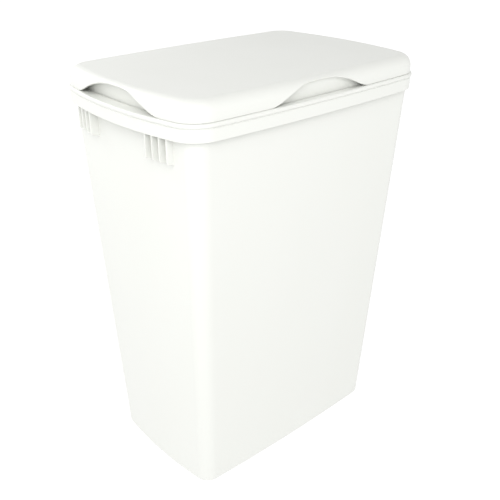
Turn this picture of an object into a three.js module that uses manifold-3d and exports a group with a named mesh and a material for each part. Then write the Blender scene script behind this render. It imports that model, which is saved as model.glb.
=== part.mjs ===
// A tapered waste container for a pull-out cupboard frame, with its lift-off lid. Each is one moulding.
//
// Millimetres, +Z up. The origin is on the floor, under the middle of the container. The long sides face
// -X and +X, and the short ends face -Y and +Y. All four bow outwards, the ends more than the sides.

import * as THREE from "three";
import { mergeVertices } from "three/addons/utils/BufferGeometryUtils.js";
import Module from "manifold-3d";

// ---- Container ----

const HEIGHT = 465; // from the floor to the top of the rim
const WALL = 2.5;
const FLOOR = 3;
const WALL_END_BOW = 7.3; // how far the middle of an end wall stands out past its corners
const WALL_SIDE_BOW = 3.9; // the same for a side wall
const BASE_WIDTH = 181.4; // in the middle of the sides
const BASE_DEPTH = 299.6; // in the middle of the ends
const BASE_RADIUS = 17.6; // upright corners at the base
const MOUTH_RADIUS = 20; // upright corners at the rim
const HEEL_RADIUS = 3.5; // edge between the walls and the base
const FOOT_WIDTH = 16; // the ring that the container stands on, around the raised panel of the base
const FOOT_HEIGHT = 2;
const PANEL_RADIUS = 8; // corners of the raised panel

// ---- Rim ----

const RIM_WIDTH = 246;
const RIM_DEPTH = 364.5;
const RIM_END_BOW = 16.3;
const RIM_SIDE_BOW = 6;
const RIM_RADIUS = 33.4;
const RIM_THICKNESS = 2.5;
const SIDE_OVERHANG = 6.4; // from a side wall to the edge of the rim
const END_OVERHANG = 12.2; // from an end wall to the edge of the rim
const SKIRT_DROP = 18.4; // from the top of the rim to the lower edge of its skirt
const SKIRT_WALL = 2;
const BEAD_HEIGHT = 4.5; // the bead along the top of the skirt
const BEAD_PROUD = 1.3;
const BEAD_CHAMFER = 1;
const BEAD_RADIUS = 2;

// ---- Gusset ribs, in two groups under each end of the rim ----

const RIB_COUNT = 4; // in a group
const RIB_PITCH = 9.8;
const RIB_THICKNESS = 2;
const RIB_CORNER_GAP = 16.3; // from a corner radius in from a side wall to the middle of the nearest rib
const RIB_DROP = 43.5; // from the top of the rim to a rib's foot at its outer edge
const RIB_SLOPE = 0.4; // how steeply a rib's foot falls towards the wall
const RIB_SETBACK = 1.25; // from the outer face of the skirt to a rib's outer edge

// ---- Lid ----

const LID_GAP = 0.3; // between the rim and the lid's skirt that rests on it
const LID_RISE = 21.1; // from the top of the rim to the top of the lid
const LID_INSET = 2.2; // from the edge of the rim to the lid's skirt
const LID_WALL = 2.2;
const LID_EDGE_RADIUS = 13.5;
const PLUG_DEPTH = 18; // how far the locating wall under the lid reaches down into the mouth
const PLUG_WALL = 2;
const PLUG_CLEARANCE = 1.2;

// ---- Finger arches, one in each side of the lid's skirt ----

const ARCH_HALF_SPAN = 74;
const END_ARCH_LAND = 0.5; // from the crown of an end arch to the underside of the lid's top
const SIDE_ARCH_LAND = 1.35; // from the crown of a side arch to the underside of the lid's top
const ARCH_FULLNESS = 1.57; // 1 is a plain cosine wave, and more has a broader crown

// ---- Fineness of the curves ----

const END_STEPS = 6; // in half of a bowed end
const CORNER_STEPS = 6;
const SIDE_STEPS = 4; // in half of a bowed side
const EDGE_STEPS = 4; // in a quarter round
const ARCH_STEPS = 24;
const PAST = 1; // how far a cut runs past the face that it opens

const manifold = await Module();
manifold.setup();

// A rectangle with bowed ends and sides and rounded corners, seen from above. Each bow is an arc, about a point
// on the Y axis for an end and on the X axis for a side. A spine is such an arc with the corner's radius taken
// off, and a corner's centre is where two spines cross. Only radii change when the outline moves in or out, so
// outlines of one plan are exactly parallel.
function plan(halfWidth, halfDepth, endBow, sideBow, radius) {
  const endRadius = (halfWidth ** 2 + endBow ** 2) / (2 * endBow);
  const sideRadius = (halfDepth ** 2 + sideBow ** 2) / (2 * sideBow);
  const endCentre = endRadius - halfDepth;
  const sideCentre = sideRadius - halfWidth;
  const endSpine = endRadius - radius;
  const sideSpine = sideRadius - radius;
  const apart = Math.hypot(endCentre, sideCentre);
  const along = (sideSpine ** 2 - endSpine ** 2 + apart ** 2) / (2 * apart);
  const across = Math.sqrt(sideSpine ** 2 - along ** 2);
  const cornerX = (sideCentre * along + endCentre * across) / apart - sideCentre;
  const cornerY = (endCentre * along - sideCentre * across) / apart;
  return {
    endCentre,
    sideCentre,
    endSpine,
    sideSpine,
    cornerX,
    cornerY,
    endAngle: Math.atan2(cornerX, endCentre - cornerY),
    sideAngle: Math.atan2(-cornerY, cornerX + sideCentre),
    radius,
  };
}

// Points along an arc from one angle to another. An angle is a turn from -Y towards +X.
function arc(centreX, centreY, radius, from, to, steps) {
  const points = [];
  for (let i = 0; i <= steps; i++) {
    const angle = from + ((to - from) * i) / steps;
    points.push([
      centreX + radius * Math.sin(angle),
      centreY - radius * Math.cos(angle),
    ]);
  }
  return points;
}

// The outline of a plan moved outwards by an offset: points round it, from the middle of its front.
function outline(bones, offset = 0) {
  const round = bones.radius + offset;
  const { endCentre, sideCentre, endSpine, sideSpine, cornerX, cornerY } = bones;
  const cornerEnd = Math.PI / 2 - bones.sideAngle;
  const quarter = [
    ...arc(0, endCentre, endSpine + round, 0, bones.endAngle, END_STEPS),
    ...arc(
      cornerX,
      cornerY,
      round,
      bones.endAngle,
      cornerEnd,
      CORNER_STEPS,
    ).slice(1),
    ...arc(
      -sideCentre,
      0,
      sideSpine + round,
      cornerEnd,
      Math.PI / 2,
      SIDE_STEPS,
    ).slice(1),
  ];
  const back = quarter.toReversed().slice(1);
  const right = [...quarter, ...back.map(([x, y]) => [x, -y])];
  const left = right
    .slice(1, -1)
    .toReversed()
    .map(([x, y]) => [-x, y]);
  return [...right, ...left];
}

// How far along Y the outline of a plan stands from the X axis, at a given x.
function endReach(bones, offset, x) {
  const round = bones.radius + offset;
  const endRadius = bones.endSpine + round;
  if (x <= endRadius * Math.sin(bones.endAngle)) {
    return Math.sqrt(endRadius ** 2 - x ** 2) - bones.endCentre;
  }
  const beyond = Math.max(0, round ** 2 - (x - bones.cornerX) ** 2);
  return Math.sqrt(beyond) - bones.cornerY;
}

// A solid through outlines at rising heights, closed by a flat face at each end.
function loft(levels) {
  const count = levels[0].points.length;
  const positions = levels.flatMap(({ z, points }) =>
    points.flatMap(([x, y]) => [x, y, z]),
  );
  const bottomCentre = levels.length * count;
  const topCentre = bottomCentre + 1;
  positions.push(0, 0, levels[0].z, 0, 0, levels.at(-1).z);
  const index = [];
  for (let i = 0; i < count; i++) {
    const next = (i + 1) % count;
    for (let level = 0; level + 1 < levels.length; level++) {
      const low = level * count;
      const high = low + count;
      index.push(low + i, low + next, high + next);
      index.push(low + i, high + next, high + i);
    }
    const top = bottomCentre - count;
    index.push(bottomCentre, next, i);
    index.push(topCentre, top + i, top + next);
  }
  const geometry = new THREE.BufferGeometry();
  geometry.setAttribute(
    "position",
    new THREE.Float32BufferAttribute(positions, 3),
  );
  geometry.setIndex(index);
  return solid(geometry);
}

// A closed three.js geometry as a solid that can be joined and cut.
function solid(geometry) {
  geometry.deleteAttribute("normal");
  geometry.deleteAttribute("uv");
  const merged = mergeVertices(geometry);
  return new manifold.Manifold(
    new manifold.Mesh({
      numProp: 3,
      vertProperties: merged.attributes.position.array,
      triVerts: new Uint32Array(merged.index.array),
    }),
  );
}

// A shape drawn in X and Z, carried along Y for half of its length to either side.
function slab(points, length) {
  const shape = new THREE.Shape(points.map(([x, z]) => new THREE.Vector2(x, z)));
  const geometry = new THREE.ExtrudeGeometry(shape, {
    depth: length,
    bevelEnabled: false,
  });
  geometry.rotateX(Math.PI / 2);
  geometry.translate(0, length / 2, 0);
  return geometry;
}

// The levels of a quarter round: from a face at an offset, inwards and up to a flat top.
function roundedTop(shape, offset, top, radius) {
  const levels = [];
  for (let i = 0; i <= EDGE_STEPS; i++) {
    const angle = (Math.PI / 2) * (i / EDGE_STEPS);
    const inwards = radius * (1 - Math.cos(angle));
    levels.push({
      z: top - radius * (1 - Math.sin(angle)),
      points: outline(shape, offset - inwards),
    });
  }
  return levels;
}

// The levels of a quarter round at the foot of the tapered walls, moved outwards by an offset.
function roundedFoot(offset, bottom, radius) {
  const levels = [];
  for (let i = 0; i <= EDGE_STEPS; i++) {
    const angle = (Math.PI / 2) * (i / EDGE_STEPS);
    const z = bottom + radius * (1 - Math.cos(angle));
    const inwards = radius * (1 - Math.sin(angle));
    levels.push({ z, points: outline(wallPlan(z), offset - inwards) });
  }
  return levels;
}

// The outer face of the container's walls at a height. They lean outwards from the base to the rim.
function wallPlan(z) {
  const share = z / HEIGHT;
  const mouthWidth = RIM_WIDTH - 2 * SIDE_OVERHANG;
  const mouthDepth = RIM_DEPTH - 2 * END_OVERHANG;
  return plan(
    THREE.MathUtils.lerp(BASE_WIDTH, mouthWidth, share) / 2,
    THREE.MathUtils.lerp(BASE_DEPTH, mouthDepth, share) / 2,
    WALL_END_BOW,
    WALL_SIDE_BOW,
    THREE.MathUtils.lerp(BASE_RADIUS, MOUTH_RADIUS, share),
  );
}

// A tapered tub, solid inside. An offset of 0 gives the walls' outer face, and -WALL the inner.
function tub(offset, bottom, heelRadius, top) {
  return loft([
    ...roundedFoot(offset, bottom, heelRadius),
    { z: top, points: outline(wallPlan(top), offset) },
  ]);
}

const rimPlan = plan(
  RIM_WIDTH / 2,
  RIM_DEPTH / 2,
  RIM_END_BOW,
  RIM_SIDE_BOW,
  RIM_RADIUS,
);

const panelPlan = plan(
  BASE_WIDTH / 2 - FOOT_WIDTH,
  BASE_DEPTH / 2 - FOOT_WIDTH,
  WALL_END_BOW,
  WALL_SIDE_BOW,
  PANEL_RADIUS,
);

// The raised panel of the base between two heights, with sides that slope at 45 degrees.
function basePanel(offset, bottom, top) {
  return loft([
    { z: bottom, points: outline(panelPlan, offset) },
    { z: top, points: outline(panelPlan, offset - (top - bottom)) },
  ]);
}

function rim() {
  const skirt = -BEAD_PROUD;
  const skirtFoot = HEIGHT - SKIRT_DROP;
  const body = loft([
    { z: skirtFoot, points: outline(rimPlan, skirt) },
    { z: HEIGHT - BEAD_HEIGHT, points: outline(rimPlan, skirt) },
    {
      z: HEIGHT - BEAD_HEIGHT + BEAD_CHAMFER,
      points: outline(rimPlan),
    },
    ...roundedTop(rimPlan, 0, HEIGHT, BEAD_RADIUS),
  ]);
  const hollow = loft([
    { z: skirtFoot - PAST, points: outline(rimPlan, skirt - SKIRT_WALL) },
    { z: HEIGHT - RIM_THICKNESS, points: outline(rimPlan, skirt - SKIRT_WALL) },
  ]);
  return body.subtract(hollow);
}

// One gusset plate, from inside the container out to the skirt. end is -1 at the front and 1 at the back.
function rib(x, end) {
  const setback = -BEAD_PROUD - RIB_SETBACK;
  const outer = endReach(rimPlan, setback, Math.abs(x));
  const inner = endReach(wallPlan(HEIGHT - RIB_DROP), -2 * WALL, Math.abs(x));
  const top = HEIGHT - RIM_THICKNESS / 2;
  const foot = HEIGHT - RIB_DROP;
  const geometry = slab(
    [
      [inner, foot - RIB_SLOPE * (outer - inner)],
      [outer, foot],
      [outer, top],
      [inner, top],
    ],
    RIB_THICKNESS,
  );
  geometry.rotateZ((end * Math.PI) / 2);
  geometry.translate(x, 0, 0);
  return solid(geometry);
}

function ribs() {
  const cornerStart = RIM_WIDTH / 2 - SIDE_OVERHANG - MOUTH_RADIUS;
  const plates = [];
  for (let i = 0; i < RIB_COUNT; i++) {
    const x = cornerStart - RIB_CORNER_GAP - i * RIB_PITCH;
    plates.push(rib(x, -1), rib(-x, -1), rib(x, 1), rib(-x, 1));
  }
  return plates;
}

function container() {
  const outside = [tub(0, 0, HEEL_RADIUS, HEIGHT), rim(), ...ribs()];
  const inside = tub(-WALL, FLOOR, HEEL_RADIUS, HEIGHT + PAST);
  const slopeShift = FLOOR * (Math.SQRT2 - 1); // keeps the floor's thickness through the panel's slopes
  const panel = basePanel(PAST + slopeShift, FLOOR - PAST, FLOOR + FOOT_HEIGHT);
  const recess = basePanel(PAST, -PAST, FOOT_HEIGHT);
  return outside
    .reduce((whole, piece) => whole.add(piece))
    .subtract(inside)
    .add(panel)
    .subtract(recess);
}

const lidTop = HEIGHT + LID_RISE;
const lidUnderside = lidTop - LID_WALL;
const skirtEdge = HEIGHT + LID_GAP;
const plugFoot = HEIGHT - PLUG_DEPTH;

// A block with the lid's rounded top, at an offset from the edge of the rim. It reaches below the plug.
function lidBlock(offset, top, radius) {
  return loft([
    { z: plugFoot - PAST, points: outline(rimPlan, offset) },
    ...roundedTop(rimPlan, offset, top, radius),
  ]);
}

// A bar whose upper face is an arch: a cosine wave with a broadened crown, level with the skirt's edge at
// both ends. It lies along Y, right through the lid, and a quarter turn lays it along X.
function archBar(land, length) {
  const rise = lidUnderside - land - skirtEdge;
  const curve = [];
  for (let i = 0; i <= ARCH_STEPS; i++) {
    const across = 1 - (2 * i) / ARCH_STEPS;
    const wave = Math.cos(Math.PI * Math.abs(across) ** ARCH_FULLNESS);
    curve.push([across * ARCH_HALF_SPAN, skirtEdge + (rise * (1 + wave)) / 2]);
  }
  const foot = skirtEdge - PAST;
  return slab(
    [[-ARCH_HALF_SPAN, foot], [ARCH_HALF_SPAN, foot], ...curve],
    length,
  );
}

// The lid's top and skirt, with an arch through the skirt in the middle of each side.
function lidShell() {
  const inner = -LID_INSET - LID_WALL;
  const hollow = lidBlock(inner, lidUnderside, LID_EDGE_RADIUS - LID_WALL);
  const belowSkirt = loft([
    { z: plugFoot - 2 * PAST, points: outline(rimPlan, PAST) },
    { z: skirtEdge, points: outline(rimPlan, PAST) },
  ]);
  const endArches = archBar(END_ARCH_LAND, RIM_DEPTH);
  const sideArches = archBar(SIDE_ARCH_LAND, RIM_WIDTH).rotateZ(Math.PI / 2);
  return lidBlock(-LID_INSET, lidTop, LID_EDGE_RADIUS)
    .subtract(hollow)
    .subtract(belowSkirt)
    .subtract(solid(endArches))
    .subtract(solid(sideArches));
}

// The outline, at a height, of the wall under the lid that stands just inside the container's walls.
function plugLevel(z, inset) {
  return { z, points: outline(wallPlan(z), -WALL - PLUG_CLEARANCE - inset) };
}

function plug() {
  const outside = loft([plugLevel(plugFoot, 0), plugLevel(lidTop, 0)]);
  const inside = loft([
    plugLevel(plugFoot - PAST, PLUG_WALL),
    plugLevel(lidUnderside, PLUG_WALL),
  ]);
  const envelope = lidBlock(-LID_INSET, lidTop, LID_EDGE_RADIUS);
  return outside.intersect(envelope).subtract(inside);
}

function part(name, shape, material) {
  const { numProp, vertProperties, triVerts } = shape.getMesh();
  const geometry = new THREE.BufferGeometry();
  const vertices = new THREE.InterleavedBuffer(vertProperties, numProp);
  geometry.setAttribute(
    "position",
    new THREE.InterleavedBufferAttribute(vertices, 3, 0),
  );
  geometry.setIndex(new THREE.BufferAttribute(triVerts, 1));
  geometry.computeVertexNormals();
  const mesh = new THREE.Mesh(geometry, material);
  mesh.name = name;
  return mesh;
}

const whitePlastic = () =>
  new THREE.MeshStandardMaterial({
    color: 0xf4f4f0,
    roughness: 0.45,
    metalness: 0,
  });

const wasteContainer = new THREE.Group();
wasteContainer.add(part("container", container(), whitePlastic()));
wasteContainer.add(part("lid", lidShell().add(plug()), whitePlastic()));

export default wasteContainer;
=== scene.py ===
"""A white waste container with a lift-off lid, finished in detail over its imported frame.

Both mouldings are closed surfaces: a profile, which runs from the middle of the underside over the
outside and back along the inside, is carried round a plan. A plan is a rectangle with bowed ends and
sides and rounded corners. Everything is in metres, with the frame's origin on the floor under the middle
of the container and +Z up. The short ends face -Y and +Y.
"""

import math
from typing import NamedTuple

import bpy
import numpy as np
from bpy.props import FloatProperty, FloatVectorProperty, IntProperty, PointerProperty
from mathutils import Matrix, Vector


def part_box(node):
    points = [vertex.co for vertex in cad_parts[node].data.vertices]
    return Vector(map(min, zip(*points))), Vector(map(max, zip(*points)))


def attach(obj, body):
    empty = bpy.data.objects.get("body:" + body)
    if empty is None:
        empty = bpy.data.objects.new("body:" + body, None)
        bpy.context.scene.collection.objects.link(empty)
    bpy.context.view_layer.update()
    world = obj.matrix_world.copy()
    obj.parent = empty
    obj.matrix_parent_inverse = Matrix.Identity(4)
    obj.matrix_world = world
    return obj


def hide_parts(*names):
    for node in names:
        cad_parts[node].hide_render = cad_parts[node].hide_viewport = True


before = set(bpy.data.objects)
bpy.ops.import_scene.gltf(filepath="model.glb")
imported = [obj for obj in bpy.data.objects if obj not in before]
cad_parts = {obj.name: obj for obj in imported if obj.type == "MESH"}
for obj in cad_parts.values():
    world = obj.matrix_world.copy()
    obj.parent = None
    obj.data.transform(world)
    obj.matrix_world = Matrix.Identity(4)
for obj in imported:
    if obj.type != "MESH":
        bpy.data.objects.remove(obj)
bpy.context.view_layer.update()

bl_info = {
    "name": "Waste Container",
    "version": (1, 0, 0),
    "blender": (4, 5, 0),
    "location": "View3D > Sidebar > Container",
    "description": "Builds a tapered waste container, its lift-off lid and a pale studio",
    "category": "Object",
}

CONTAINER_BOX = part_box("container")
LID_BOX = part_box("lid")
MILLIMETRE = 0.001


# ---- Sizes and looks that a user can change ----


def metres(name, description, default):
    """A size that is given in metres."""
    return FloatProperty(
        name=name, description=description, default=default, subtype="DISTANCE", unit="LENGTH"
    )


def millimetres(name, description, default):
    """A size that is given in millimetres, and kept in metres."""
    return metres(name, description, default * MILLIMETRE)


def number(name, description, default):
    """A number with no unit."""
    return FloatProperty(name=name, description=description, default=default)


def colour(name, description, default):
    """A linear colour."""
    return FloatVectorProperty(
        name=name, description=description, default=default, size=4, subtype="COLOR"
    )


def place(name, description, default):
    """A point, in metres."""
    return FloatVectorProperty(
        name=name, description=description, default=default, size=3, subtype="XYZ", unit="LENGTH"
    )


def power(name, description, watts):
    """The power of a light."""
    return FloatProperty(name=name, description=description, default=watts, unit="POWER")


class ContainerSizes(bpy.types.PropertyGroup):
    """The container's walls, base and rim."""

    height: metres("Height", "Floor to the top of the rim", CONTAINER_BOX[1].z)
    rim_width: metres("Rim width", "Over the rim, along X", 2 * CONTAINER_BOX[1].x)
    rim_depth: metres("Rim depth", "Over the rim, along Y", 2 * CONTAINER_BOX[1].y)
    wall: millimetres("Wall", "Thickness of the walls", 2.5)
    floor: millimetres("Floor", "Thickness of the base", 3)
    wall_end_bow: millimetres("Wall's end bow", "How far an end wall's middle stands out", 7.3)
    wall_side_bow: millimetres("Wall's side bow", "How far a side wall's middle stands out", 3.9)
    base_width: millimetres("Base width", "Over the walls at the base, along X", 181.4)
    base_depth: millimetres("Base depth", "Over the walls at the base, along Y", 299.6)
    base_radius: millimetres("Base corner", "Radius of the upright corners, at the base", 17.6)
    mouth_radius: millimetres("Mouth corner", "Radius of the upright corners, at the rim", 20)
    heel_radius: millimetres("Heel", "Radius between the walls and the base", 3.5)
    foot_width: millimetres("Foot width", "Ring around the raised panel of the base", 16)
    foot_height: millimetres("Foot height", "How far the base's panel is raised", 2)
    panel_radius: millimetres("Panel corner", "Radius of the raised panel's corners", 8)
    rim_end_bow: millimetres("Rim's end bow", "How far the middle of the rim's end stands out", 16.3)
    rim_side_bow: millimetres("Rim's side bow", "How far the middle of the rim's side stands out", 6)
    rim_radius: millimetres("Rim corner", "Radius of the rim's corners", 33.4)
    rim_thickness: millimetres("Rim thickness", "Thickness of the rim's flat top", 2.5)
    side_overhang: millimetres("Side overhang", "Side wall to the edge of the rim", 6.4)
    end_overhang: millimetres("End overhang", "End wall to the edge of the rim", 12.2)
    skirt_drop: millimetres("Skirt drop", "Top of the rim to the skirt's lower edge", 18.4)
    skirt_wall: millimetres("Skirt wall", "Thickness of the rim's skirt", 2)
    bead_height: millimetres("Bead height", "Height of the bead along the rim", 4.5)
    bead_proud: millimetres("Bead proud", "How far the bead stands out from the skirt", 1.3)
    bead_swell: millimetres("Bead swell", "Height over which the bead swells out", 1.2)
    groove: millimetres("Groove", "Depth of the fine groove beneath the bead", 0.6)
    bead_radius: millimetres("Bead radius", "Radius of the bead's top edge", 2)
    mouth_edge: millimetres("Mouth edge", "Radius of the edge round the mouth", 0.9)
    edge_radius: millimetres("Edge radius", "Radius of the moulding's small edges", 0.6)
    root_radius: millimetres("Root radius", "Radius where two walls meet", 1.2)


class RibSizes(bpy.types.PropertyGroup):
    """The gusset ribs under both ends of the rim."""

    count: IntProperty(name="Ribs", description="Ribs in a group", default=4, min=1)
    pitch: millimetres("Pitch", "Between the middles of two ribs", 9.8)
    thickness: millimetres("Thickness", "Thickness of a rib at the wall", 2)
    draft: number("Draft", "Share of its thickness lost at the outer edge", 0.2)
    corner_gap: millimetres("Corner gap", "A corner radius in from the side to the nearest rib", 16.3)
    drop: millimetres("Drop", "Top of the rim to a rib's foot, at its outer edge", 43.5)
    slope: number("Slope", "How steeply a rib's foot falls towards the wall", 0.4)
    setback: millimetres("Setback", "Outer face of the skirt to a rib's edge", 1.25)
    corner_radius: millimetres("Foot radius", "Radius of the foot's outer corner", 1.5)
    edge_radius: millimetres("Edge radius", "Radius along a rib's edges", 0.35)


class LidSizes(bpy.types.PropertyGroup):
    """The lid's top, skirt, finger arches and locating wall."""

    top: metres("Top", "Floor to the top of the lid", LID_BOX[1].z)
    plug_foot: metres("Plug foot", "Floor to the locating wall's edge", LID_BOX[0].z)
    inset: millimetres("Inset", "Edge of the rim to the lid's skirt", 2.2)
    gap: millimetres("Gap", "Between the rim and the lid's skirt above it", 0.2)
    wall: millimetres("Wall", "Thickness of the lid", 2.2)
    edge_radius: millimetres("Edge", "Radius between the top and the skirt", 13.5)
    lip_radius: millimetres("Lip", "Radius of the skirt's edge, inside and outside", 0.3)
    plug_wall: millimetres("Plug wall", "Thickness of the locating wall", 2)
    plug_clearance: millimetres("Clearance", "Locating wall to the container's wall", 1.2)
    root_radius: millimetres("Root radius", "Radius where the locating wall starts", 1.2)
    arch_half_span: millimetres("Arch half span", "Middle to the end of an arch", 74)
    end_arch_land: millimetres("End arch land", "Crown of an end arch to the underside", 0.5)
    side_arch_land: millimetres("Side arch land", "Crown of a side arch to the underside", 1.35)
    arch_fullness: number("Arch fullness", "1 is a plain cosine wave, more is broader", 1.57)


class PlasticLook(bpy.types.PropertyGroup):
    """The satin white plastic that both mouldings are made of."""

    colour: colour("Colour", "Colour of the plastic", (0.775, 0.783, 0.75, 1))
    dull_colour: colour("Dull colour", "Where it is a little thicker or duller", (0.76, 0.77, 0.73, 1))
    roughness: number("Roughness", "Roughness of a clean face", 0.4)
    flow_roughness: number("Flow roughness", "How much the roughness varies along the flow", 0.1)
    grain_roughness: number("Grain roughness", "How much the roughness varies with the grain", 0.06)
    refraction: number("Refraction", "Refractive index of the plastic", 1.49)
    flow_size: millimetres("Flow size", "Size of the cloudy variation", 90)
    grain_size: millimetres("Grain size", "Size of the moulded grain", 0.8)
    grain_depth: millimetres("Grain depth", "Depth of the moulded grain", 0.02)
    ripple_size: millimetres("Ripple size", "Size of the slow ripple in a wall", 45)
    ripple_depth: millimetres("Ripple depth", "Depth of the slow ripple in a wall", 0.06)
    scuff_height: millimetres("Scuff height", "How high up the walls are scuffed", 22)
    scuff_size: millimetres("Scuff size", "Height of a scuff mark, which is four times as wide", 4)
    scuff_roughness: number("Scuff roughness", "Roughness that a scuff mark adds", 0.3)


class StudioLook(bpy.types.PropertyGroup):
    """The camera, the floor and the lights."""

    azimuth: FloatProperty(
        name="Azimuth",
        description="Camera's turn about the upright axis, from the front",
        default=math.radians(47.97),
        unit="ROTATION",
        subtype="ANGLE",
    )
    elevation: FloatProperty(
        name="Elevation",
        description="Camera's angle above the horizon",
        default=math.radians(26.48),
        unit="ROTATION",
        subtype="ANGLE",
    )
    distance: millimetres("Distance", "Camera to the point it looks at", 917.5)
    target: place("Target", "The point that the camera looks at", (0.00974, -0.0023, 0.24755))
    nearest: millimetres("Nearest", "Closest distance that the camera sees", 10)
    farthest: millimetres("Farthest", "Greatest distance that the camera sees", 50000)
    lens: FloatProperty(
        name="Lens",
        description="Focal length, in millimetres, on a 36 mm sensor",
        default=52.15,
        unit="CAMERA",
    )
    floor_size: millimetres("Floor size", "Width of the floor", 40000)
    floor_colour: colour("Floor colour", "Colour of the floor", (0.1, 0.1, 0.1, 1))
    floor_glow: number("Floor glow", "Light that the floor gives by itself", 1.02)
    horizon: number("Horizon", "Brightness of the air up to the band's top", 1.0)
    overhead: number("Overhead", "Brightness of the air above the blend", 0.53)
    band_top: number("Band top", "Upward part of a direction where the horizon's band ends", 0.28)
    blend: number("Blend", "Upward part over which the air changes above the band", 0.35)
    light_target: place("Light target", "The point that both lights face", (0, 0, 0.25))
    key: power("Key", "Power of the main light", 16.5)
    key_place: place("Key place", "Where the main light hangs", (0.93, -1.03, 1.4))
    key_width: millimetres("Key width", "Width of the main light", 1200)
    fill: power("Fill", "Power of the second light, which is small and near", 1.4)
    fill_place: place("Fill place", "Where the second light hangs", (-0.564, -0.326, 0.796))
    fill_width: millimetres("Fill width", "Width of the second light", 400)


class ContainerSettings(bpy.types.PropertyGroup):
    """Everything that the panel shows."""

    container: PointerProperty(type=ContainerSizes)
    ribs: PointerProperty(type=RibSizes)
    lid: PointerProperty(type=LidSizes)
    plastic: PointerProperty(type=PlasticLook)
    studio: PointerProperty(type=StudioLook)


# ---- Surfaces ----

HAIR = 0.0003  # a flat stretch keeps its first and last rows this close to the rounds beside it
INWARDS = np.linspace(1, 0.02, 6)  # how rows of a flat top or base draw in towards its middle
STEEPEST = 0.9  # sine of the largest turn at which the lid's locating wall meets its rounded edge


class Path(NamedTuple):
    """The way round a plan, as arrays with one value for each point.

    end, corner and side say what share of half an end, of the corner and of half a side is passed. flip_x
    and flip_y are 1 in the quarter that is worked out, and -1 in its mirror images.
    """

    end: np.ndarray
    corner: np.ndarray
    side: np.ndarray
    flip_x: np.ndarray
    flip_y: np.ndarray


def way_round(end_steps, corner_steps, side_steps):
    """The path round a whole plan: one quarter, from the middle of the front to the middle of the right
    side, then its mirror images in turn, without the points that two quarters share."""
    count = end_steps + corner_steps + side_steps
    steps = np.arange(count + 1)
    quarter = np.stack(
        [
            np.clip(steps / end_steps, 0, 1),
            np.clip((steps - end_steps) / corner_steps, 0, 1),
            np.clip((steps - end_steps - corner_steps) / side_steps, 0, 1),
        ]
    )
    back_again = quarter[:, ::-1]
    shares = [quarter, back_again[:, 1:], quarter[:, 1:], back_again[:, 1:-1]]
    counts = [quarter.shape[1] for quarter in shares]
    return Path(
        *np.concatenate(shares, axis=1),
        flip_x=np.repeat([1, 1, -1, -1], counts),
        flip_y=np.repeat([1, -1, -1, 1], counts),
    )


class Bones(NamedTuple):
    """What is left of a plan when its corner radius is taken off: a shorter arc for an end and for a
    side, and the point where they cross, which is the corner's centre. end_angle and side_angle are what
    the arcs turn through between the middle and that point."""

    end_centre: np.ndarray
    end_spine: np.ndarray
    end_angle: np.ndarray
    side_spine: np.ndarray
    side_angle: np.ndarray
    corner_x: np.ndarray
    corner_y: np.ndarray


class Plan(NamedTuple):
    """A rectangle with bowed ends and sides and rounded corners. An end's arc is about a point on the Y
    axis and a side's about a point on the X axis. Each size is a number, or an array with a row per
    level."""

    half_width: np.ndarray
    half_depth: np.ndarray
    end_bow: np.ndarray
    side_bow: np.ndarray
    radius: np.ndarray

    def bones(self):
        """The plan's bones. An arc's radius is (half ** 2 + bow ** 2) / (2 * bow), and the corner's
        centre is found along and across the line between the two arcs' centres."""
        end_radius = (self.half_width**2 + self.end_bow**2) / (2 * self.end_bow)
        side_radius = (self.half_depth**2 + self.side_bow**2) / (2 * self.side_bow)
        end_centre = end_radius - self.half_depth
        side_centre = side_radius - self.half_width
        end_spine = end_radius - self.radius
        side_spine = side_radius - self.radius
        apart = np.hypot(end_centre, side_centre)
        along = (side_spine**2 - end_spine**2 + apart**2) / (2 * apart)
        across = np.sqrt(side_spine**2 - along**2)
        from_side_x = (side_centre * along + end_centre * across) / apart
        corner_y = (end_centre * along - side_centre * across) / apart
        corner_x = from_side_x - side_centre
        end_angle = np.arctan2(corner_x, end_centre - corner_y)
        side_angle = np.arctan2(-corner_y, from_side_x)
        return Bones(end_centre, end_spine, end_angle, side_spine, side_angle, corner_x, corner_y)


def column(values):
    """Numbers as a column, one row per level. A table with a row per level stays as it is."""
    values = np.asarray(values, float)
    return values if values.ndim == 2 else values.reshape(-1, 1)


def outline(plan, offset, path):
    """Points round a plan moved outwards by an offset. Each is a point of the plan's bones, plus the
    corner's radius and the offset times the outward direction there, so all outlines of one plan are
    parallel. An angle is a turn from -Y towards +X."""
    bones = plan.bones()
    on_end = bones.end_angle * path.end
    on_side = math.pi / 2 - bones.side_angle * (1 - path.side)
    corner_turn = math.pi / 2 - bones.end_angle - bones.side_angle
    outward = on_end + corner_turn * path.corner + bones.side_angle * path.side
    reach = plan.radius + offset
    bone_x = bones.end_spine * np.sin(on_end)
    bone_y = bones.end_centre - bones.end_spine * np.cos(on_end)
    past_corner_x = bones.side_spine * (np.sin(on_side) - np.cos(bones.side_angle))
    past_corner_y = bones.side_spine * (np.sin(bones.side_angle) - np.cos(on_side))
    x = bone_x + past_corner_x + reach * np.sin(outward)
    y = bone_y + past_corner_y - reach * np.cos(outward)
    return x * path.flip_x, y * path.flip_y


def end_reach(plan, offset, x):
    """How far from the X axis a plan's outline stands at a given x: by the end's arc as far as that goes,
    and by the corner's arc past it."""
    bones = plan.bones()
    reach = plan.radius + offset
    end_radius = bones.end_spine + reach
    on_end = np.sqrt(end_radius**2 - x**2) - bones.end_centre
    on_corner = np.sqrt(np.maximum(reach**2 - (x - bones.corner_x) ** 2, 0)) - bones.corner_y
    return np.where(x <= end_radius * np.sin(bones.end_angle), on_end, on_corner)


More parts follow.
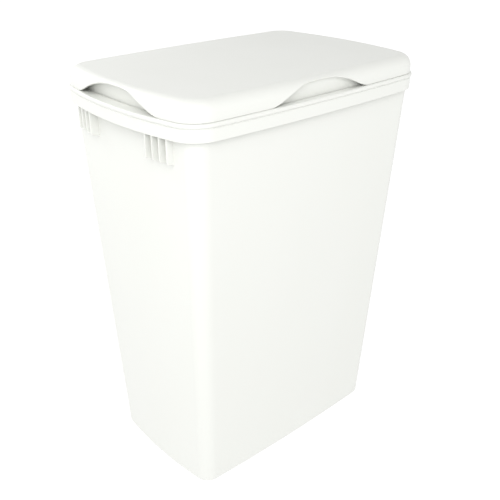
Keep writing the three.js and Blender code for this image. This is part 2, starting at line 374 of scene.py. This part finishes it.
def rows_round(path, plan, offset, height, scale=1.0):
    """Rows of a swept surface: a plan's outlines at given offsets and heights, drawn in towards the Z
    axis by a scale. Returns an array of rows, points and coordinates."""
    x, y = outline(plan, column(offset), path)
    x, y, z = np.broadcast_arrays(x * column(scale), y * column(scale), column(height))
    return np.stack([x, y, z], axis=-1)


def round_of(radius, start, end, steps=7):
    """A round in a profile: distances outwards and upwards from its centre, between two angles in
    degrees. 0 points outwards and 90 upwards."""
    angle = np.radians(np.linspace(start, end, steps))
    return radius * np.cos(angle), radius * np.sin(angle)


def straight(start, end, steps=2):
    """Even steps along a flat stretch, from a hair after its start to a hair before its end. On a short
    stretch the hair is a third of it at most."""
    hair = math.copysign(min(HAIR, abs(end - start) / 3), end - start)
    return np.linspace(start + hair, end - hair, steps)


def closed_shell(rows, first_pole, last_pole):
    """Vertices, quads and triangles of a closed surface: quads between neighbouring rows, and a fan from
    each pole to the row beside it. Rows run anticlockwise as seen from where they advance to."""
    grid = np.concatenate(rows)
    levels, count = grid.shape[:2]
    vertices = np.concatenate([grid.reshape(-1, 3), [first_pole, last_pole]])
    here = np.arange(count)
    after = np.roll(here, -1)
    low = count * np.arange(levels - 1)[:, None]
    quads = np.stack([low + here, low + after, low + count + after, low + count + here], axis=-1)
    first = np.full(count, levels * count)
    last_row = (levels - 1) * count
    first_fan = np.stack([first, after, here], axis=-1)
    last_fan = np.stack([first + 1, last_row + here, last_row + after], axis=-1)
    return vertices, quads.reshape(-1, 4), np.concatenate([first_fan, last_fan])


def add_piece(name, shells, material, body):
    """Makes one object of closed shells and gives it the material. It rides on a body, and the imported part
    of that body is hidden."""
    starts = np.cumsum([0] + [len(vertices) for vertices, _, _ in shells])
    vertices = np.concatenate([vertices for vertices, _, _ in shells])
    faces = []
    for start, (_, quads, triangles) in zip(starts, shells):
        faces += (quads + start).tolist() + (triangles + start).tolist()
    mesh = bpy.data.meshes.new(name)
    mesh.from_pydata(vertices.tolist(), [], faces)
    mesh.shade_smooth()
    mesh.materials.append(material)
    piece = bpy.data.objects.new(name, mesh)
    bpy.context.scene.collection.objects.link(piece)
    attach(piece, body)
    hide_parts(body)


# ---- The plans that every outline comes from ----


def wall_plan(sizes, height):
    """The outer face of the container's walls at a height. Each size changes evenly from base to rim."""
    rise = column(height) / sizes.height
    mouth_width = sizes.rim_width - 2 * sizes.side_overhang
    mouth_depth = sizes.rim_depth - 2 * sizes.end_overhang
    return Plan(
        half_width=(sizes.base_width + (mouth_width - sizes.base_width) * rise) / 2,
        half_depth=(sizes.base_depth + (mouth_depth - sizes.base_depth) * rise) / 2,
        end_bow=np.full_like(rise, sizes.wall_end_bow),
        side_bow=np.full_like(rise, sizes.wall_side_bow),
        radius=sizes.base_radius + (sizes.mouth_radius - sizes.base_radius) * rise,
    )


def rim_plan(sizes):
    """The outermost edge of the rim."""
    return Plan(
        sizes.rim_width / 2,
        sizes.rim_depth / 2,
        sizes.rim_end_bow,
        sizes.rim_side_bow,
        sizes.rim_radius,
    )


def panel_plan(sizes):
    """The edge of the raised panel in the base."""
    return Plan(
        sizes.base_width / 2 - sizes.foot_width,
        sizes.base_depth / 2 - sizes.foot_width,
        sizes.wall_end_bow,
        sizes.wall_side_bow,
        sizes.panel_radius,
    )


def wall_rows(path, sizes, offset, height):
    """Rows on the leaning walls, at given offsets from their outer face and heights."""
    offset, height = np.broadcast_arrays(column(offset), column(height))
    return rows_round(path, wall_plan(sizes, height), offset, height)


# ---- Container ----


def base_underside(path, sizes):
    """From the middle of the raised panel, down its side that slopes at 45 degrees, and out across the
    foot."""
    panel = panel_plan(sizes)
    high = sizes.foot_height
    edge = sizes.edge_radius
    yield rows_round(path, panel, -high - edge, high, INWARDS[::-1])
    yield rows_round(path, panel, [-high - edge / 2, -high + edge / 2], [high, high - edge / 2])
    yield rows_round(path, panel, [-edge / 2, edge / 2, edge + HAIR], [edge / 2, 0, 0])
    yield wall_rows(path, sizes, -sizes.heel_radius - HAIR, 0)


def outer_walls(path, sizes):
    """Round the heel, and up the leaning walls to the root where they meet the rim's flat top from below."""
    heel = sizes.heel_radius
    root = sizes.root_radius
    flange = sizes.height - sizes.rim_thickness
    out, up = round_of(heel, -90, 0)
    yield wall_rows(path, sizes, out - heel, up + heel)
    yield wall_rows(path, sizes, 0, straight(heel, flange - root, steps=24))
    out, up = round_of(root, 180, 90)
    yield wall_rows(path, sizes, out + root, up + flange - root)


def rim_skirt(path, sizes):
    """Out under the rim's flat top, down the inside of its skirt, round the skirt's lower edge and up its
    outside. A groove twice as high as it is deep, half a sine wave, runs beneath the bead. The bead
    swells out above it as half a cosine wave and is rounded into the flat top, which runs in to the
    mouth."""
    rim = rim_plan(sizes)
    root = sizes.root_radius
    edge = sizes.edge_radius
    top = sizes.height
    flange = top - sizes.rim_thickness
    foot = top - sizes.skirt_drop
    outside = -sizes.bead_proud
    inside = outside - sizes.skirt_wall
    bead = sizes.bead_radius
    rise = np.linspace(0, 1, 9)
    bead_foot = top - sizes.bead_height
    groove_height = 2 * sizes.groove
    groove_foot = bead_foot - groove_height
    out, up = round_of(root, 90, 0)
    yield rows_round(path, rim, inside - root + out, flange - root + up)
    yield rows_round(path, rim, inside, straight(flange - root, foot + edge, steps=4))
    out, up = round_of(edge, 180, 270, steps=5)
    yield rows_round(path, rim, inside + edge + out, foot + edge + up)
    out, up = round_of(edge, 270, 360, steps=5)
    yield rows_round(path, rim, outside - edge + out, foot + edge + up)
    yield rows_round(path, rim, outside, straight(foot + edge, groove_foot, steps=4))
    dip = sizes.groove * np.sin(math.pi * rise[:-1])
    yield rows_round(path, rim, outside - dip, groove_foot + groove_height * rise[:-1])
    wave = (1 + np.cos(math.pi * rise)) / 2
    yield rows_round(path, rim, outside * wave, bead_foot + sizes.bead_swell * rise)
    out, up = round_of(bead, 0, 90, steps=9)
    yield rows_round(path, rim, out - bead, top - bead + up)
    yield rows_round(path, rim, -bead - HAIR, top)


def inner_walls(path, sizes):
    """Round the edge of the mouth, down the inside of the walls and round the inner heel to the floor."""
    edge = sizes.mouth_edge
    top = sizes.height
    heel = sizes.heel_radius
    inside = -sizes.wall
    yield wall_rows(path, sizes, inside + edge + HAIR, top)
    out, up = round_of(edge, 90, 180)
    yield wall_rows(path, sizes, inside + edge + out, top - edge + up)
    yield wall_rows(path, sizes, inside, straight(top - edge, sizes.floor + heel, steps=24))
    out, up = round_of(heel, 0, -90)
    yield wall_rows(path, sizes, inside - heel + out, sizes.floor + heel + up)
    yield wall_rows(path, sizes, inside - heel - HAIR, sizes.floor)


def inner_floor(path, sizes):
    """In across the floor, up the raised panel's sloping side and in to its middle. The slope is shifted
    outwards from the one underneath, so the floor is as thick there as it is elsewhere."""
    panel = panel_plan(sizes)
    edge = sizes.edge_radius
    low = sizes.floor
    high = low + sizes.foot_height
    slope_foot = sizes.floor * (math.sqrt(2) - 1)
    slope_top = slope_foot - sizes.foot_height
    foot_offsets = [slope_foot + edge + HAIR, slope_foot + edge / 2, slope_foot - edge / 2]
    yield rows_round(path, panel, foot_offsets, [low, low, low + edge / 2])
    yield rows_round(path, panel, [slope_top + edge / 2, slope_top - edge / 2], [high - edge / 2, high])
    yield rows_round(path, panel, slope_top - edge, high, INWARDS)


def container_shell(sizes):
    """The container as one closed surface, from the middle of its underside to the middle of its floor."""
    path = way_round(end_steps=26, corner_steps=26, side_steps=22)
    stretches = (base_underside, outer_walls, rim_skirt, inner_walls, inner_floor)
    return closed_shell(
        [rows for stretch in stretches for rows in stretch(path, sizes)],
        first_pole=(0, 0, sizes.foot_height),
        last_pole=(0, 0, sizes.floor + sizes.foot_height),
    )


# ---- Gusset ribs ----


def rounded_rectangle(width, height, radius, steps=5):
    """Points round a rectangle about its middle, from a quarter round about each corner's centre in turn.
    Sizes may be columns, one row per rectangle."""
    angle = (np.linspace(0, math.pi / 2, steps) + np.arange(4)[:, None] * math.pi / 2).ravel()
    corner_x = np.repeat([1, -1, -1, 1], steps) * (width / 2 - radius)
    corner_y = np.repeat([1, 1, -1, -1], steps) * (height / 2 - radius)
    return corner_x + radius * np.cos(angle), corner_y + radius * np.sin(angle)


def rib_shell(container, ribs, x, end):
    """One gusset plate, as outlines stacked across its thickness, which shrink by a quarter round near
    each face. An outline is a rounded rectangle in shares of the plate: outwards from the middle of the
    leaning wall to the upright outer edge, and downwards from inside the rim's flat top to a foot that
    falls towards the wall. end is -1 at the front and 1 at the back."""
    edge = ribs.edge_radius
    turn = np.linspace(0, math.pi / 2, 5)
    from_face = ribs.thickness / 2 - edge * (1 - np.cos(turn))
    shrink = edge * (1 - np.sin(turn))
    across = column(np.concatenate([-from_face, from_face[::-1]]))
    shrink = column(np.concatenate([shrink, shrink[::-1]]))

    top = container.height - container.rim_thickness / 2
    foot = container.height - ribs.drop
    outer = end_reach(rim_plan(container), -container.bead_proud - ribs.setback, abs(x))
    depth = outer - end_reach(wall_plan(container, foot), 0, abs(x)).item()
    wide, tall = rounded_rectangle(
        depth - 2 * shrink, top - foot - 2 * shrink, ribs.corner_radius - shrink
    )
    outwards = wide / depth + 0.5
    downwards = 0.5 - tall / (top - foot)
    z = top - downwards * (top - foot + ribs.slope * depth * (1 - outwards))
    wall = end_reach(wall_plan(container, z), -container.wall / 2, abs(x))
    y = end * (wall + outwards * (outer - wall))
    rows = np.stack([x + end * across * (1 - ribs.draft * outwards), y, z], axis=-1)
    return closed_shell([rows], rows[0].mean(axis=0), rows[-1].mean(axis=0))


def rib_places(container, ribs):
    """The ribs' places along X: a group counted inwards from where each corner starts."""
    corner_start = container.rim_width / 2 - container.side_overhang - container.mouth_radius
    group = corner_start - ribs.corner_gap - ribs.pitch * np.arange(ribs.count)
    return np.concatenate([group, -group])


# ---- Lid ----


def lid_profile(lid, travel, depth):
    """A point of the lid's profile, as its offset from the skirt's outer face and its height. travel is
    the way along the outer face from where the rounded edge starts: less than 0 on the flat top, then a
    quarter round, then straight down the skirt. depth is how far the point lies beneath that face."""
    radius = lid.edge_radius
    turn = np.clip(travel / radius, 0, math.pi / 2)
    down = np.maximum(travel - radius * math.pi / 2, 0)
    offset = np.minimum(travel, 0) - radius + (radius - depth) * np.sin(turn)
    height = lid.top - radius + (radius - depth) * np.cos(turn) - down
    return offset, height


def travel_to(lid, height):
    """How far along the outer face of the lid's profile a height is reached."""
    from_top = lid.top - height
    turn = np.arccos(np.clip(1 - from_top / lid.edge_radius, 0, 1))
    return lid.edge_radius * turn + np.maximum(from_top - lid.edge_radius, 0)


def arch_lift(lid, skirt_edge, x, y):
    """How far the skirt's edge is lifted at points round it. Over an arch it is the arch's rise times
    half of 1 + cos(pi * u ** fullness), where u goes from 0 in the middle to 1 at each end."""
    underside = lid.top - lid.wall
    end_rise = underside - lid.end_arch_land - skirt_edge
    side_rise = underside - lid.side_arch_land - skirt_edge
    from_middle = np.minimum(np.abs([x, y]) / lid.arch_half_span, 1)
    wave = (1 + np.cos(math.pi * from_middle**lid.arch_fullness)) / 2
    return end_rise * wave[0] + side_rise * wave[1]


def skirt_rows(path, rim, lid, start, end, depth, steps):
    """Rows along the lid's profile at one depth. They share out the way from start to end evenly at each
    point round the lid, so they follow the arches."""
    travel = start + (end - start) * column(np.linspace(0, 1, steps))
    offset, height = lid_profile(lid, travel, depth)
    return rows_round(path, rim, offset - lid.inset, height)


def skirt_lip(path, rim, lid, edge, steps=5):
    """The skirt's edge: a quarter round from its inner face, and another to its outer face. They are
    worked out across the lid's thickness from its middle, and onwards along its profile."""
    turn = np.linspace(0, math.pi / 2, steps)
    half = lid.wall / 2
    across = (half - lid.lip_radius * (1 - np.cos(turn[1:]))) / half
    onwards = lid.lip_radius * np.sin(turn[1:]) / half
    across = column(np.concatenate([-across, across[::-1]]))
    onwards = column(np.concatenate([onwards, onwards[::-1]]))
    offset, height = lid_profile(lid, edge, half)
    face_offset, face_height = lid_profile(lid, edge, 0)
    out_offset = face_offset - offset
    out_height = face_height - height
    return rows_round(
        path,
        rim,
        offset + out_offset * across + out_height * onwards - lid.inset,
        height + out_height * across - out_offset * onwards,
    )


def locating_wall(path, container, lid):
    """Down the inside of the locating wall, round its foot and up to the skirt's edge on the outside."""
    outer = -container.wall - lid.plug_clearance
    inner = outer - lid.plug_wall
    root = lid.root_radius
    tip = lid.plug_wall / 2
    underside = lid.top - lid.wall
    out, up = round_of(root, 90, 0)
    yield wall_rows(path, container, inner - root + out, underside - root + up)
    yield wall_rows(path, container, inner, straight(underside - root, lid.plug_foot + tip, steps=6))
    out, up = round_of(tip, 180, 360, steps=9)
    yield wall_rows(path, container, inner + tip + out, lid.plug_foot + tip + up)
    yield wall_rows(path, container, outer, straight(lid.plug_foot + tip, container.height, steps=5))


def blend_rows(start, bend, end, steps=6):
    """Rows from one row to another along a quadratic curve at each point, bent towards a row between
    them."""
    passed = np.linspace(0, 1, steps)[1:-1, None, None]
    left = 1 - passed
    return start * left**2 + bend * 2 * passed * left + end * passed**2


def lid_shell(container, lid):
    """The lid as one closed surface, from the middle of its underside to the middle of its top: down and
    up the locating wall, out along the inside of the rounded edge and skirt, round the arched edge and
    back up."""
    path = way_round(end_steps=46, corner_steps=28, side_steps=58)
    rim = rim_plan(container)
    underside = lid.top - lid.wall
    skirt_edge = container.height + lid.gap
    outer = -container.wall - lid.plug_clearance
    root = lid.root_radius

    skirt_x, skirt_y = outline(rim, -lid.inset, path)
    lift = arch_lift(lid, skirt_edge, skirt_x, skirt_y)
    edge = travel_to(lid, skirt_edge + lift) - lid.lip_radius
    wall_x, wall_y = outline(wall_plan(container, underside), outer, path)
    short = lid.edge_radius + root - np.hypot(skirt_x - wall_x, skirt_y - wall_y)
    turn = np.arcsin(np.clip(short / (lid.edge_radius - lid.wall), 0, STEEPEST))
    start = np.minimum(np.minimum(short, 0) + lid.edge_radius * turn, edge - HAIR)

    inner_face = skirt_rows(path, rim, lid, start, edge, depth=lid.wall, steps=16)
    meeting = inner_face[0, :, 2]
    upper_wall = container.height + (meeting - root - container.height) * column(straight(0, 1, steps=5))
    wall_top = wall_rows(path, container, outer, upper_wall)
    bend = wall_rows(path, container, outer, meeting[None])
    inner = outer - lid.plug_wall - root - HAIR
    rows = [
        rows_round(path, wall_plan(container, underside), inner, underside, INWARDS[::-1]),
        *locating_wall(path, container, lid),
        wall_top,
        blend_rows(wall_top[-1:], bend, inner_face[:1]),
        inner_face,
        skirt_lip(path, rim, lid, edge),
        skirt_rows(path, rim, lid, edge, np.zeros_like(edge), depth=0, steps=30),
        rows_round(path, rim, -lid.inset - lid.edge_radius - HAIR, lid.top, INWARDS),
    ]
    return closed_shell(rows, first_pole=(0, 0, underside), last_pole=(0, 0, lid.top))


# ---- Plastic ----


class Field:
    """One output of a shader node. Arithmetic on fields adds Math nodes beside it."""

    def __init__(self, tree, output):
        self.tree = tree
        self.output = output

    def node(self, kind, settings, inputs, output=0):
        """Adds a node of any kind to the same tree, and returns one of its outputs."""
        return add_node(self.tree, kind, settings, inputs, output)

    def maths(self, operation, first, second):
        return self.node("ShaderNodeMath", {"operation": operation}, {0: first, 1: second})

    def __add__(self, other):
        return self.maths("ADD", self, other)

    def __radd__(self, other):
        return self.maths("ADD", other, self)

    def __sub__(self, other):
        return self.maths("SUBTRACT", self, other)

    def __mul__(self, other):
        return self.maths("MULTIPLY", self, other)

    def __rmul__(self, other):
        return self.maths("MULTIPLY", other, self)


def add_node(tree, kind, settings, inputs, output=0):
    """Adds a shader node: its settings first, then a value or a field for each of its sockets. Returns
    the output asked for as a field, or nothing for a node that has none."""
    node = tree.nodes.new(kind)
    for name, setting in settings.items():
        setattr(node, name, setting)
    for name, value in inputs.items():
        if isinstance(value, Field):
            tree.links.new(value.output, node.inputs[name])
        else:
            node.inputs[name].default_value = value
    return Field(tree, node.outputs[output]) if node.outputs else None


def new_tree(owner):
    """The empty node tree of a material or a world."""
    owner.use_nodes = True
    owner.node_tree.nodes.clear()
    return owner.node_tree


def noise(point, size, detail, stretch=(1, 1, 1)):
    """Noise between 0 and 1. Its blobs are about size metres across, times the stretch along each axis."""
    scaled = point.node(
        "ShaderNodeVectorMath",
        {"operation": "MULTIPLY"},
        {0: point, 1: [1 / (size * times) for times in stretch]},
    )
    return point.node("ShaderNodeTexNoise", {}, {"Vector": scaled, "Scale": 1.0, "Detail": detail})


def satin_plastic(name, look, scuffed):
    """Moulded plastic: a satin white with a fine grain, a slow ripple where the wall has sunk a little in
    cooling, and a cloudy variation along the flow. A scuffed one is duller low on its walls."""
    material = bpy.data.materials.new(name)
    tree = new_tree(material)
    point = add_node(tree, "ShaderNodeTexCoord", {}, {}, "Object")
    flow = noise(point, look.flow_size, detail=3.0, stretch=(1, 1, 2.5))
    ripple = noise(point, look.ripple_size, detail=0.0, stretch=(1, 1, 1.6))
    grain = noise(point, look.grain_size, detail=2.0)
    varied = look.flow_roughness * (flow - 0.5) + look.grain_roughness * (grain - 0.5)
    roughness = look.roughness + varied
    if scuffed:
        height = point.node("ShaderNodeSeparateXYZ", {}, {0: point}, "Z")
        low = point.node(
            "ShaderNodeMapRange",
            {"interpolation_type": "SMOOTHSTEP"},
            {"Value": height, "From Max": look.scuff_height, "To Min": 1.0, "To Max": 0.0},
        )
        scuff = noise(point, look.scuff_size, detail=4.0, stretch=(4, 4, 1))
        roughness = roughness + look.scuff_roughness * low * scuff
    paint = point.node(
        "ShaderNodeMix",
        {"data_type": "RGBA"},
        {0: flow, 6: look.colour, 7: look.dull_colour},
        output=2,
    )
    relief = grain * look.grain_depth + ripple * look.ripple_depth
    bump = point.node("ShaderNodeBump", {}, {"Height": relief, "Strength": 1.0, "Distance": 1.0})
    shader = point.node(
        "ShaderNodeBsdfPrincipled",
        {},
        {"Base Color": paint, "Roughness": roughness, "Normal": bump, "IOR": look.refraction},
    )
    add_node(tree, "ShaderNodeOutputMaterial", {}, {"Surface": shader})
    return material


# ---- Studio ----


def glowing_floor(look):
    """Pale studio floor: a matte grey that also gives light, so hardly any shadow is seen on it."""
    material = bpy.data.materials.new("studio_floor")
    tree = new_tree(material)
    shader = add_node(
        tree,
        "ShaderNodeBsdfPrincipled",
        {},
        {
            "Base Color": look.floor_colour,
            "Roughness": 1.0,
            "Specular IOR Level": 0.0,
            "Emission Color": (1, 1, 1, 1),
            "Emission Strength": look.floor_glow,
        },
    )
    add_node(tree, "ShaderNodeOutputMaterial", {}, {"Surface": shader})
    return material


def add_floor(look):
    """A large square on the floor level."""
    half = look.floor_size / 2
    mesh = bpy.data.meshes.new("studio_floor")
    corners = [(-half, -half, 0), (half, -half, 0), (half, half, 0), (-half, half, 0)]
    mesh.from_pydata(corners, [], [(0, 1, 2, 3)])
    mesh.materials.append(glowing_floor(look))
    floor = bpy.data.objects.new("studio_floor", mesh)
    bpy.context.scene.collection.objects.link(floor)


def light_all_round(look):
    """Light from all round: a white band up from the horizon, and a greyer sky above it. The two are
    mixed by the upward part of the direction."""
    world = bpy.data.worlds.new("studio_air")
    tree = new_tree(world)
    direction = add_node(tree, "ShaderNodeTexCoord", {}, {}, "Generated")
    upward = direction.node("ShaderNodeSeparateXYZ", {}, {0: direction}, "Z")
    above_band = direction.node(
        "ShaderNodeMapRange",
        {},
        {"Value": upward, "From Min": look.band_top, "From Max": look.band_top + look.blend},
    )
    air = direction.node(
        "ShaderNodeMix",
        {"data_type": "RGBA"},
        {0: above_band, 6: [look.horizon] * 3 + [1], 7: [look.overhead] * 3 + [1]},
        output=2,
    )
    background = direction.node("ShaderNodeBackground", {}, {"Color": air, "Strength": 1.0})
    add_node(tree, "ShaderNodeOutputWorld", {}, {"Surface": background})
    bpy.context.scene.world = world


def add_soft_light(name, position, target, width, watts):
    """A square area light that faces a target. It lights the scene and isn't seen itself."""
    light = bpy.data.lights.new(name, "AREA")
    light.size = width
    light.energy = watts
    lamp = bpy.data.objects.new(name, light)
    lamp.location = position
    lamp.visible_camera = False
    lamp.rotation_euler = (Vector(position) - Vector(target)).to_track_quat("Z", "Y").to_euler()
    bpy.context.scene.collection.objects.link(lamp)


def add_camera(look):
    """The camera, at an azimuth, an elevation and a distance from the point that it looks at."""
    level = math.cos(look.elevation)
    back = Vector(
        (
            math.sin(look.azimuth) * level,
            -math.cos(look.azimuth) * level,
            math.sin(look.elevation),
        )
    )
    view = bpy.data.cameras.new("studio_camera")
    view.lens = look.lens
    view.clip_start = look.nearest
    view.clip_end = look.farthest
    camera = bpy.data.objects.new("studio_camera", view)
    camera.location = Vector(look.target) + back * look.distance
    camera.rotation_euler = back.to_track_quat("Z", "Y").to_euler()
    bpy.context.scene.collection.objects.link(camera)
    bpy.context.scene.camera = camera


# ---- What the panel offers ----


class WASTE_OT_container(bpy.types.Operator):
    """Add the container: tapered walls, base, rim, skirt and bead"""

    bl_idname = "waste.container"
    bl_label = "Container"

    def execute(self, context):
        settings = context.scene.waste_container
        material = satin_plastic("satin_white_container", settings.plastic, scuffed=True)
        add_piece("container_moulding", [container_shell(settings.container)], material, "container")
        return {"FINISHED"}


class WASTE_OT_ribs(bpy.types.Operator):
    """Add the gusset ribs under both ends of the rim"""

    bl_idname = "waste.ribs"
    bl_label = "Rim ribs"

    def execute(self, context):
        settings = context.scene.waste_container
        places = rib_places(settings.container, settings.ribs)
        shells = [
            rib_shell(settings.container, settings.ribs, x, end) for end in (-1, 1) for x in places
        ]
        material = satin_plastic("satin_white_ribs", settings.plastic, scuffed=False)
        add_piece("rim_ribs", shells, material, "container")
        return {"FINISHED"}


class WASTE_OT_lid(bpy.types.Operator):
    """Add the lift-off lid, with its finger arches and locating wall"""

    bl_idname = "waste.lid"
    bl_label = "Lid"

    def execute(self, context):
        settings = context.scene.waste_container
        material = satin_plastic("satin_white_lid", settings.plastic, scuffed=False)
        add_piece("lid_moulding", [lid_shell(settings.container, settings.lid)], material, "lid")
        return {"FINISHED"}


class WASTE_OT_studio(bpy.types.Operator):
    """Add the floor, the lights and the camera"""

    bl_idname = "waste.studio"
    bl_label = "Studio"

    def execute(self, context):
        look = context.scene.waste_container.studio
        add_floor(look)
        light_all_round(look)
        target = look.light_target
        add_soft_light("key_light", look.key_place, target, look.key_width, look.key)
        add_soft_light("fill_light", look.fill_place, target, look.fill_width, look.fill)
        add_camera(look)
        context.scene.view_settings.view_transform = "Standard"
        return {"FINISHED"}


OPERATORS = (WASTE_OT_container, WASTE_OT_ribs, WASTE_OT_lid, WASTE_OT_studio)


class WASTE_PT_panel(bpy.types.Panel):
    """Sizes and looks, with a button for each piece"""

    bl_idname = "WASTE_PT_panel"
    bl_label = "Waste container"
    bl_space_type = "VIEW_3D"
    bl_region_type = "UI"
    bl_category = "Container"

    def draw(self, context):
        settings = context.scene.waste_container
        for group in (settings.container, settings.ribs, settings.lid, settings.plastic, settings.studio):
            box = self.layout.box()
            for name in group.__annotations__:
                box.prop(group, name)
        for operator in OPERATORS:
            self.layout.operator(operator.bl_idname)


CLASSES = (
    ContainerSizes,
    RibSizes,
    LidSizes,
    PlasticLook,
    StudioLook,
    ContainerSettings,
    *OPERATORS,
    WASTE_PT_panel,
)


def register():
    for each in CLASSES:
        bpy.utils.register_class(each)
    bpy.types.Scene.waste_container = PointerProperty(type=ContainerSettings)


def unregister():
    del bpy.types.Scene.waste_container
    for each in reversed(CLASSES):
        bpy.utils.unregister_class(each)


def main():
    register()
    bpy.ops.waste.container()
    bpy.ops.waste.ribs()
    bpy.ops.waste.lid()
    bpy.ops.waste.studio()


if __name__ == "__main__":
    main()
